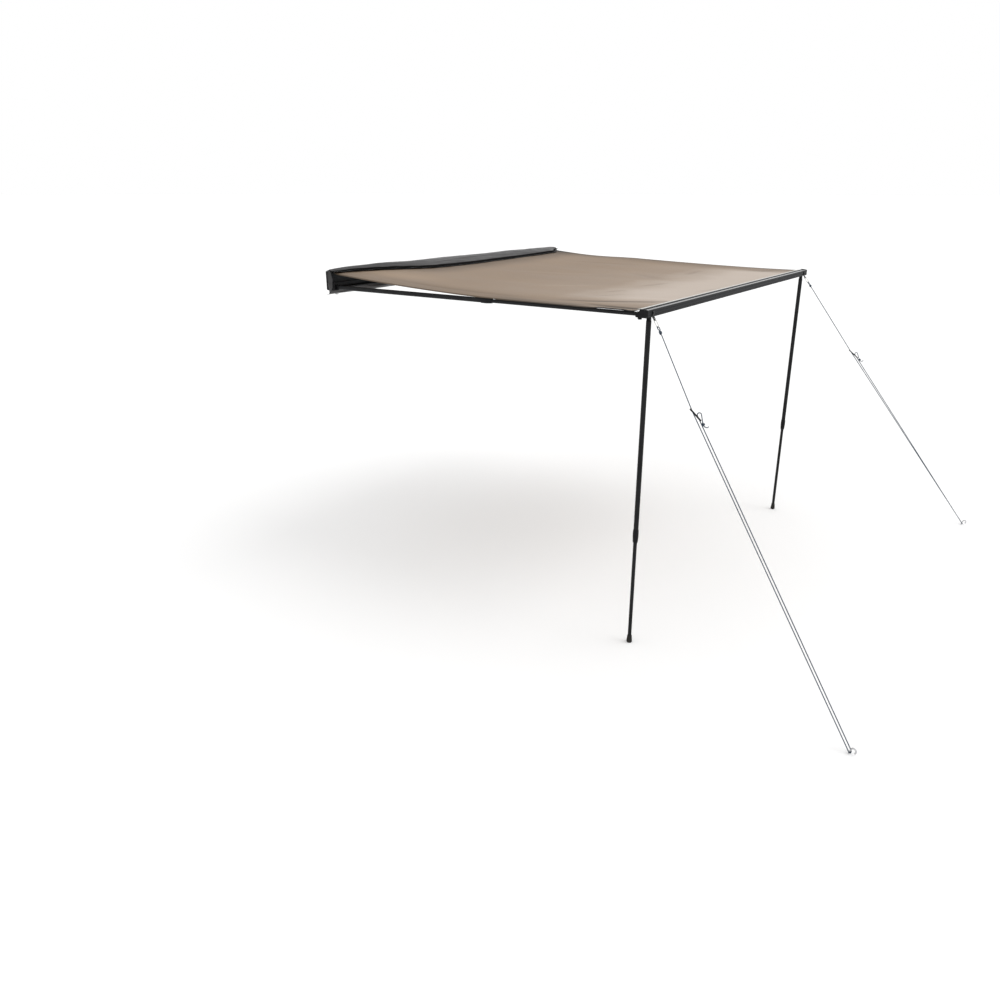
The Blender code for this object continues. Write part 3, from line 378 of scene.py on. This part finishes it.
cloth = surface("coated_ripstop", dark=(0.235, 0.169, 0.116), light=(0.280, 0.205, 0.142), size=0.42,
                rough=(0.58, 0.74), grain=0.004, shine=0.25)
tree = cloth.node_tree
base = tree.nodes["Principled BSDF"]
coords = first_node(tree, "TEX_COORD").outputs["Object"]
RIP_PITCH = 0.0065
RIP_WIDE = 0.0009
along_lines = stripes(tree, coords, "X", RIP_PITCH, RIP_WIDE)
cross_lines = stripes(tree, coords, "Y", RIP_PITCH, RIP_WIDE)
either = tree.nodes.new("ShaderNodeMath")
either.operation = "MAXIMUM"
tree.links.new(along_lines, either.inputs[0])
tree.links.new(cross_lines, either.inputs[1])
ramp = first_node(tree, "VALTORGB").outputs["Color"]
threads = tree.nodes.new("ShaderNodeMix")
threads.data_type = "RGBA"
threads.blend_type = "MULTIPLY"
threads.inputs["B"].default_value = (0.90, 0.90, 0.90, 1)
tree.links.new(either.outputs["Value"], threads.inputs["Factor"])
tree.links.new(ramp, threads.inputs["A"])

# Painted sheen: the cloth is painted paler towards the beam, where it is drawn tight, in place of the sky's
# reflection there: a slow change, then an uneven border, and less of it along the sides
parted = tree.nodes.new("ShaderNodeSeparateXYZ")
tree.links.new(coords, parted.inputs["Vector"])
drift = tree.nodes.new("ShaderNodeTexNoise")
drift.inputs["Scale"].default_value = 2.6
drift.inputs["Detail"].default_value = 5
drift.inputs["Roughness"].default_value = 0.6
tree.links.new(coords, drift.inputs["Vector"])
uneven = tree.nodes.new("ShaderNodeMath")
uneven.operation = "MULTIPLY_ADD"
uneven.inputs[1].default_value = 0.34
tree.links.new(drift.outputs["Fac"], uneven.inputs[0])
tree.links.new(parted.outputs["Y"], uneven.inputs[2])
sheen_reach = tree.nodes.new("ShaderNodeMapRange")
sheen_reach.inputs["From Min"].default_value = -0.55
sheen_reach.inputs["From Max"].default_value = -1.63
tree.links.new(uneven.outputs["Value"], sheen_reach.inputs["Value"])
border = tree.nodes.new("ShaderNodeValToRGB")
border.color_ramp.interpolation = "B_SPLINE"
border.color_ramp.elements[0].position = 0.0
border.color_ramp.elements[0].color = (0, 0, 0, 1)
border.color_ramp.elements[1].position = 1.0
border.color_ramp.elements[1].color = (1, 1, 1, 1)
for place, amount in ((0.60, 0.22), (0.68, 0.36), (0.82, 0.68), (0.92, 0.94)):
    stop = border.color_ramp.elements.new(place)
    stop.color = (amount, amount, amount, 1)
tree.links.new(sheen_reach.outputs["Result"], border.inputs["Fac"])
outward = tree.nodes.new("ShaderNodeMath")
outward.operation = "SUBTRACT"
outward.inputs[1].default_value = 0.03
tree.links.new(parted.outputs["X"], outward.inputs[0])
apart = tree.nodes.new("ShaderNodeMath")
apart.operation = "ABSOLUTE"
tree.links.new(outward.outputs["Value"], apart.inputs[0])
middle = tree.nodes.new("ShaderNodeMapRange")
middle.interpolation_type = "SMOOTHSTEP"
middle.inputs["From Min"].default_value = 0.82
middle.inputs["From Max"].default_value = 1.12
middle.inputs["To Min"].default_value = 1.0
middle.inputs["To Max"].default_value = 0.28
tree.links.new(apart.outputs["Value"], middle.inputs["Value"])
share = tree.nodes.new("ShaderNodeMath")
share.operation = "MULTIPLY"
tree.links.new(border.outputs["Color"], share.inputs[0])
tree.links.new(middle.outputs["Result"], share.inputs[1])
# The pale colour of the painted sheen, mixed in by the mask above
painted_sheen = tree.nodes.new("ShaderNodeMix")
painted_sheen.data_type = "RGBA"
painted_sheen.inputs["B"].default_value = (0.472, 0.400, 0.341, 1)
tree.links.new(share.outputs["Value"], painted_sheen.inputs["Factor"])
tree.links.new(threads.outputs["Result"], painted_sheen.inputs["A"])

# Painted shade on folds, hems, the line along the beam and the band below the bag, as stored with the sheet
stored = tree.nodes.new("ShaderNodeAttribute")
stored.attribute_name = "shade"
# Multiplies the painted shade into the cloth's colour; a minus value paints a highlight
painted_shade_tone = tree.nodes.new("ShaderNodeMix")
painted_shade_tone.data_type = "RGBA"
painted_shade_tone.blend_type = "MULTIPLY"
painted_shade_tone.clamp_factor = False
painted_shade_tone.inputs["B"].default_value = (0.0, 0.0, 0.0, 1)
tree.links.new(stored.outputs["Fac"], painted_shade_tone.inputs["Factor"])
tree.links.new(painted_sheen.outputs["Result"], painted_shade_tone.inputs["A"])
tree.links.new(painted_shade_tone.outputs["Result"], base.inputs["Base Color"])
canopy_mesh.materials.append(cloth)
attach(canopy, "root")
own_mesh(canopy)
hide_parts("canopy")

# Front hem: an off-white woven tape sewn along the canopy's edge at the beam. Its weave has fine ribs across
# it, made as a relief.
tape = surface("hem_tape", dark=(0.56, 0.55, 0.52), light=(0.68, 0.67, 0.64), size=0.02, rough=(0.75, 0.9),
               bump=0.2)
tree = tape.node_tree
base = tree.nodes["Principled BSDF"]
coords = first_node(tree, "TEX_COORD").outputs["Object"]
ribs = stripes(tree, coords, "X", 0.0016, 0.0008)
weave = tree.nodes.new("ShaderNodeBump")
weave.inputs["Strength"].default_value = 0.3
weave.inputs["Distance"].default_value = 0.0003
tree.links.new(ribs, weave.inputs["Height"])
tree.links.new(weave.outputs["Normal"], base.inputs["Normal"])
dress(tape, "front_hem")

# Bag, upper half: glossy black coated cloth, held by its rod in the rail's track, puffed over the rail and
# lying forward on the canopy. Its free edge is bound and lies in small scallops.
bag_cloth = surface("bag_pvc", dark=(0.016, 0.015, 0.0155), light=(0.034, 0.032, 0.033), size=0.06,
                    rough=(0.34, 0.50), bump=0.35, grain=0.011, shine=0.45)
binding = surface("edge_binding", dark=(0.0035, 0.0033, 0.0032), light=(0.008, 0.0078, 0.0075), size=0.008,
                  rough=(0.88, 0.96), bump=0.4, grain=0.0011, shine=0.04)
BAG_TRACK_HALF = 1.243
BAG_TRACK_Y = -0.0095
TOP_FLAP_STEPS = 520


def top_flap_point(u, v):
    """The upper half without creases: up out of its track, over the rail and forward on the canopy."""
    x = (2 * u - 1) * BAG_HALF
    ends = max(0.0, abs(x) / BAG_HALF - 0.6) / 0.4
    fall = 1 - 0.82 * ends ** 2.2
    reach = flap_reach(x)
    if v < 0.12:
        return Vector(((2 * u - 1) * BAG_TRACK_HALF, BAG_TRACK_Y, 0.0482 + v / 0.12 * 0.0058))
    w = (v - 0.12) / 0.88
    y = BAG_TRACK_Y - 0.004 * math.sin(math.pi * w) - reach * w
    rest = canopy_height(x, y) + 0.0036 if y < -0.034 else 0.0534
    rest = max(rest, 0.0534 - 0.12 * max(0.0, -0.030 - y))
    crest = (0.022 * fall + 0.003) * math.sin(math.pi * min(1.0, w * 1.25)) ** 0.8 if w < 0.8 else 0
    return Vector((x, y, rest + crest))


def cloth_sheet(name, across, along, place_point, thick, paint, binding=None, bound=0.84):
    """A fine grid put in place by a function of (0..1, 0..1), with thickness and a paint, and another
    along its bound edge."""
    mesh = bpy.data.meshes.new(name)
    form = bmesh.new()
    bmesh.ops.create_grid(form, x_segments=across, y_segments=along, size=0.5)
    for face in form.faces:
        face.material_index = 1 if binding and face.calc_center_median().y + 0.5 > bound else 0
    for vertex in form.verts:
        vertex.co = place_point(vertex.co.x + 0.5, vertex.co.y + 0.5)
    form.to_mesh(mesh)
    form.free()
    mesh.shade_smooth()
    mesh.materials.append(paint)
    if binding:
        mesh.materials.append(binding)
    sheet = bpy.data.objects.new(name, mesh)
    bpy.context.scene.collection.objects.link(sheet)
    body = sheet.modifiers.new("Thickness", "SOLIDIFY")
    body.thickness = thick
    body.offset = 0
    return sheet


def creased_top(u, v):
    """The upper half with its creases, the swell of its free edge and the scallops along it."""
    place = top_flap_point(u, v)
    w = max(0.0, (v - 0.14) / 0.86)
    loose = min(1.0, w * 5) * min(1.0, (1 - w) * 5)
    streak = noise.noise(Vector((place.x * 3.1 + w * 2.4, w * 6.5, 0.3)))
    streak += 0.45 * noise.noise(Vector((place.x * 7.0 - w * 3.0, w * 13.0, 2.1)))
    place.z += loose * max(-0.0020, 0.0060 * streak)
    full = 1 - 0.6 * ease(abs(place.x), 0.95, 1.25)
    if w > 0.80:
        place.z += 0.0105 * full * math.sin(math.pi * (w - 0.80) / 0.20) ** 0.8
    near = min(1.0, max(0.0, 0.25 - place.x))
    rim = max(0.0, (w - 0.80) / 0.20)
    scallop = 44.9 * place.x
    place.z += 0.0022 * near * rim * (1 + math.sin(scallop + 0.8 * math.sin(9 * place.x)))
    place.y -= 0.0030 * near * rim * math.sin(scallop)
    return place


top_flap = cloth_sheet("bag_top", TOP_FLAP_STEPS, 50, creased_top, 0.0009, bag_cloth, binding)
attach(top_flap, "root")
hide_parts("bag_top_flap")

# Zip of the bag: a woven tape with a row of moulded teeth, sewn along the upper half's free edge. The bag is
# open, so the teeth meet no others.
# The tape's section is given as reach beyond the edge and lift above it.
TAPE_SECTION = ((-0.004, 0.0006), (0.002, 0.0007), (0.010, 0.0003),
                (0.010, -0.0003), (0.002, -0.0004), (-0.004, -0.0006))
TOOTH_PITCH = 0.0034
TOOTH_SIZE = (0.0020, 0.0046, 0.0026)
TOOTH_REACH = 0.0098


def zip_along(name, edge, inner, paint, teeth_paint):
    """Tape and teeth beyond an edge: the edge's points, and points a little inside it."""
    tape_mesh = bpy.data.meshes.new(name + "_tape")
    teeth_mesh = bpy.data.meshes.new(name + "_teeth")
    form = bmesh.new()
    rows = []
    for i, (rim, within) in enumerate(zip(edge, inner)):
        out = (rim - within).normalized()
        before = edge[max(0, i - 1)]
        after = edge[min(len(edge) - 1, i + 1)]
        along = (after - before).normalized()
        up = along.cross(out).normalized()
        rows.append([form.verts.new(rim + out * reach + up * lift) for reach, lift in TAPE_SECTION])
    sides = len(TAPE_SECTION)
    for first, second in zip(rows, rows[1:]):
        for a in range(sides):
            b = (a + 1) % sides
            form.faces.new((first[a], first[b], second[b], second[a]))
    form.faces.new(rows[0])
    form.faces.new(reversed(rows[-1]))
    bmesh.ops.recalc_face_normals(form, faces=form.faces)
    form.to_mesh(tape_mesh)
    form.free()
    tape_mesh.shade_smooth()
    form = bmesh.new()
    spare = 0.0
    for i in range(1, len(edge)):
        run = edge[i] - edge[i - 1]
        length = run.length
        out = (edge[i] - inner[i]).normalized()
        along = run.normalized()
        out = (out - along * out.dot(along)).normalized()
        up = along.cross(out)
        spare += length
        while spare > TOOTH_PITCH:
            spare -= TOOTH_PITCH
            middle = edge[i] - along * spare + out * TOOTH_REACH + up * 0.0002
            facing = Matrix((along, out, up)).transposed().to_4x4()
            size = Matrix.Diagonal((*TOOTH_SIZE, 1))
            bmesh.ops.create_cube(form, size=1, matrix=Matrix.Translation(middle) @ facing @ size)
    form.to_mesh(teeth_mesh)
    form.free()
    for mesh, look in ((tape_mesh, paint), (teeth_mesh, teeth_paint)):
        mesh.materials.append(look)
        piece = bpy.data.objects.new(mesh.name, mesh)
        bpy.context.scene.collection.objects.link(piece)
        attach(piece, "root")


zip_tape = surface("zip_tape", dark=(0.012, 0.012, 0.013), light=(0.024, 0.024, 0.026), size=0.01,
                   rough=(0.7, 0.85), bump=0.4, grain=0.0008)
zip_teeth = surface("zip_teeth", dark=(0.022, 0.022, 0.024), light=(0.04, 0.04, 0.042), size=0.01,
                    rough=(0.3, 0.45))
free_edge = [creased_top(i / TOP_FLAP_STEPS, 1.0) for i in range(TOP_FLAP_STEPS + 1)]
within_edge = [point + Vector((0, 0.012, 0.0005)) for point in free_edge]
zip_along("upper_zip", free_edge, within_edge, zip_tape, zip_teeth)

# Bag, lower half: the same cloth, held by its rod in the rail's low track. It hangs below the rail, creased,
# and its free edge swings back under the rail.
LOW_TRACK_Y = -0.024


def lower_flap_point(u, v):
    """The lower half without creases: down out of its track, in a slack curve with soft waves."""
    x = (2 * u - 1) * BAG_TRACK_HALF
    if v < 0.1:
        return Vector((x, LOW_TRACK_Y, -0.0482 - v / 0.1 * 0.004))
    w = (v - 0.1) / 0.9
    calm = max(0.0, min(1.0, (x + 0.80) / 0.2)) if w > 0.5 else 1.0
    wave = calm * math.sin(math.pi * min(1.0, w)) + calm * 0.25 * w
    y = LOW_TRACK_Y + 0.034 * w * w + 0.006 * wave * math.sin(11 * x + 1.2)
    z = -0.0522 - 0.030 * math.sin(1.45 * w) + 0.004 * wave * math.sin(17 * x)
    return Vector((x, y, z))


def creased_low(u, v):
    """The lower half with its creases, which die out at the track."""
    place = lower_flap_point(u, v)
    w = max(0.0, (v - 0.14) / 0.86)
    loose = min(1.0, w * 4) * min(1.0, (1.04 - w) * 5) * max(0.0, min(1.0, (place.x + 0.80) / 0.2 + (1 - w)))
    crease = noise.noise(Vector((place.x * 10, w * 2.4, 5.3)))
    crease += 0.5 * noise.noise(Vector((place.x * 27, w * 5, 9.1)))
    place.y += loose * 0.0055 * crease
    place.z += loose * 0.0030 * crease
    return place


low_flap = cloth_sheet("bag_low", 420, 26, creased_low, 0.0009, bag_cloth)
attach(low_flap, "root")
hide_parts("bag_lower_flap")

# Bag ends: soft D-shaped gussets of the bag's cloth, dished and crumpled. A corded rim is sewn round each,
# which keeps its outline.
piping = surface("bag_piping", dark=(0.020, 0.020, 0.021), light=(0.04, 0.04, 0.042), size=0.01,
                 rough=(0.35, 0.5), bump=0.3)
GUSSET_MIDDLE_Y = -0.026
GUSSET_MIDDLE_Z = -0.0035
GUSSET_X = 1.2536
RIM_STEPS = 48


def gusset_point(side, u, v):
    """A point of an end's gusset: u round its half circle, v from its middle to its rim."""
    angle = math.pi * (0.5 - u)
    radius = 0.14 + 0.86 * v
    y = GUSSET_MIDDLE_Y - 0.030 * radius * math.cos(angle) * (1 + 0.05 * math.sin(9 * angle))
    z = GUSSET_MIDDLE_Z + 0.0645 * radius * math.sin(angle) * (1 + 0.04 * math.sin(7 * angle))
    x = GUSSET_X + 0.008 * (1 - v) + 0.0012 * math.sin(5 * angle) * v * (1 - v) * 4
    x += 0.0022 * v * (1 - v) * 4 * noise.noise(Vector((y * 60, z * 45, side * 3.0)))
    return Vector((side * x, y, z))


def round_cord(name, points, radius, facets, paint):
    """A round cord through points, as a piece of its own."""
    curve = bpy.data.curves.new(name, "CURVE")
    curve.dimensions = "3D"
    curve.bevel_depth = radius
    curve.bevel_resolution = facets
    curve.use_fill_caps = True
    spline = curve.splines.new("POLY")
    spline.points.add(len(points) - 1)
    for point, place in zip(spline.points, points):
        point.co = (*place, 1)
    curve.materials.append(paint)
    cord = bpy.data.objects.new(name, curve)
    bpy.context.scene.collection.objects.link(cord)
    return cord


for end, side in (("front", -1), ("rear", 1)):
    gusset = cloth_sheet("bag_gusset_" + end, 64, 24, lambda u, v: gusset_point(side, u, v), 0.0011, bag_cloth)
    outline = [gusset_point(side, i / RIM_STEPS, 1.0) + Vector((side * 0.0012, 0, 0)) for i in range(RIM_STEPS + 1)]
    cord = round_cord("gusset_rim_" + end, outline, 0.0016, 3, piping)
    for piece in (gusset, cord):
        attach(piece, "root")
    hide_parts("bag_end_" + end)

# Guy ropes: braided cord, blue with pale flecks, knotted round the pale link, threaded through the
# tensioner, round the peg and back to the tensioner. The routes are those of the CAD cords.
rope_paint = surface("guy_braid", dark=(0.012, 0.021, 0.037), light=(0.028, 0.044, 0.068), size=0.004,
                     rough=(0.7, 0.85), bump=0.5, stretch=(1, 1, 0.45), grain=0.0012)
tree = rope_paint.node_tree
base = tree.nodes["Principled BSDF"]
coords = first_node(tree, "TEX_COORD").outputs["Object"]
ramp = first_node(tree, "VALTORGB").outputs["Color"]
braid = tree.nodes.new("ShaderNodeTexWave")
braid.wave_type = "BANDS"
braid.bands_direction = "Z"
braid.inputs["Scale"].default_value = 42
braid.inputs["Distortion"].default_value = 2.2
braid.inputs["Detail"].default_value = 1
braid.inputs["Detail Scale"].default_value = 6
tree.links.new(coords, braid.inputs["Vector"])
flecks = tree.nodes.new("ShaderNodeValToRGB")
flecks.color_ramp.elements[0].position = 0.62
flecks.color_ramp.elements[0].color = (0, 0, 0, 1)
flecks.color_ramp.elements[1].position = 0.78
flecks.color_ramp.elements[1].color = (1, 1, 1, 1)
tree.links.new(braid.outputs["Fac"], flecks.inputs["Fac"])
mixed = tree.nodes.new("ShaderNodeMix")
mixed.data_type = "RGBA"
mixed.inputs["B"].default_value = (0.095, 0.122, 0.158, 1)
tree.links.new(flecks.outputs["Color"], mixed.inputs["Factor"])
tree.links.new(ramp, mixed.inputs["A"])
tree.links.new(mixed.outputs["Result"], base.inputs["Base Color"])

routes = {
    "front": [
        (-1.1949, -2.0945, -0.114), (-1.194, -2.0912, -0.1091), (-1.1895, -2.0881, -0.1046),
        (-1.1875, -2.0855, -0.1007), (-1.1881, -2.0826, -0.0966), (-1.1911, -2.0803, -0.0932),
        (-1.1958, -2.0792, -0.0916), (-1.2008, -2.0795, -0.0921), (-1.2049, -2.0812, -0.0946),
        (-1.2069, -2.0839, -0.0984), (-1.2063, -2.0867, -0.1026), (-1.1988, -2.0908, -0.1086),
        (-1.1998, -2.0947, -0.1143), (-1.2006, -2.0981, -0.1192), (-1.2016, -2.102, -0.1249),
        (-1.2654, -2.2977, -0.4286), (-1.2678, -2.3051, -0.4402), (-1.497, -3.2116, -1.7386),
        (-1.497, -3.2134, -1.741), (-1.496, -3.2153, -1.7433), (-1.4942, -3.2171, -1.745),
        (-1.4918, -3.2185, -1.7462), (-1.4889, -3.2195, -1.7465), (-1.4859, -3.22, -1.7462),
        (-1.483, -3.2198, -1.745), (-1.4806, -3.2191, -1.7433), (-1.4789, -3.2179, -1.741),
        (-1.478, -3.2163, -1.7386), (-1.2639, -2.3371, -0.4698), (-1.2619, -2.3292, -0.4584),
        (-1.2609, -2.3275, -0.4551), (-1.259, -2.3271, -0.4518), (-1.2566, -2.328, -0.449),
        (-1.254, -2.33, -0.4471), (-1.2515, -2.3329, -0.4465), (-1.2497, -2.3362, -0.4471),
        (-1.2487, -2.3394, -0.449), (-1.2487, -2.342, -0.4518), (-1.2614, -2.3562, -0.4865),
        (-1.263, -2.3581, -0.491), (-1.2638, -2.3615, -0.4959), (-1.2641, -2.3654, -0.5005),
        (-1.264, -2.3688, -0.5041), (-1.2626, -2.373, -0.5064), (-1.26, -2.3773, -0.507),
        (-1.2567, -2.3808, -0.5057), (-1.2533, -2.383, -0.5029),
    ],
    "rear": [
        (1.2095, -2.0936, -0.1114), (1.2081, -2.0902, -0.1066), (1.2104, -2.0863, -0.1011),
        (1.2106, -2.0835, -0.0969), (1.2082, -2.0809, -0.0932), (1.2039, -2.0793, -0.091),
        (1.1989, -2.0792, -0.0908), (1.1944, -2.0806, -0.0928), (1.1917, -2.083, -0.0963),
        (1.1915, -2.0859, -0.1005), (1.1938, -2.0885, -0.1041), (1.2035, -2.0908, -0.1075),
        (1.205, -2.0947, -0.1131), (1.2063, -2.0981, -0.1179), (1.2079, -2.102, -0.1235),
        (1.3181, -2.3848, -0.5387), (1.3211, -2.3925, -0.55), (1.6476, -3.2394, -1.7386),
        (1.6487, -3.241, -1.741), (1.6506, -3.242, -1.7432), (1.6531, -3.2424, -1.7449),
        (1.656, -3.2422, -1.746), (1.6589, -3.2413, -1.7464), (1.6616, -3.24, -1.7461),
        (1.6638, -3.2382, -1.7449), (1.6654, -3.2361, -1.7432), (1.6661, -3.2341, -1.741),
        (1.6658, -3.2322, -1.7386), (1.339, -2.4281, -0.5834), (1.3359, -2.4203, -0.5722),
        (1.3354, -2.4187, -0.5688), (1.3358, -2.4182, -0.565), (1.3371, -2.419, -0.5615),
        (1.339, -2.4208, -0.5587), (1.3412, -2.4235, -0.5571), (1.3434, -2.4267, -0.557),
        (1.3453, -2.4297, -0.5583), (1.3465, -2.4323, -0.5609), (1.3491, -2.4467, -0.5977),
        (1.3495, -2.4486, -0.6024), (1.3509, -2.452, -0.6072), (1.3526, -2.4558, -0.6115),
        (1.3543, -2.4592, -0.6148), (1.3568, -2.4632, -0.6164), (1.3597, -2.4672, -0.6159),
        (1.3625, -2.4705, -0.6134), (1.3648, -2.4726, -0.6094),
    ],
}


def wound_knot(name, start, end, turns):
    """Rope wound round its own line from one point to another."""
    run = end - start
    axis = run.normalized()
    aside = axis.orthogonal().normalized()
    other = axis.cross(aside)
    count = int(turns * 14)
    points = []
    for i in range(count + 1):
        angle = 2 * math.pi * turns * i / count
        bulge = 0.0046 + 0.0008 * math.sin(math.pi * i / count)
        place = start + run * (0.12 + 0.76 * i / count)
        place += (aside * math.cos(angle) + other * math.sin(angle)) * bulge
        points.append(place)
    return round_cord(name, points, 0.0021, 3, rope_paint)


# Each rope's length is that of its route. A knot is given by the route's points that it lies between.
ROPE_THICK = 0.0045
for end, route in routes.items():
    rope = round_cord("guy_rope_" + end, route, ROPE_THICK / 2, 4, rope_paint)
    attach(rope, "beam")
    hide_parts("guy_line_" + end)
    for label, first, last, turns in (("link_knot", 11, 14, 3.5), ("tail_knot", 38, 41, 2.5)):
        knot = wound_knot(f"{label}_{end}", Vector(route[first]), Vector(route[last]), turns)
        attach(knot, "beam")
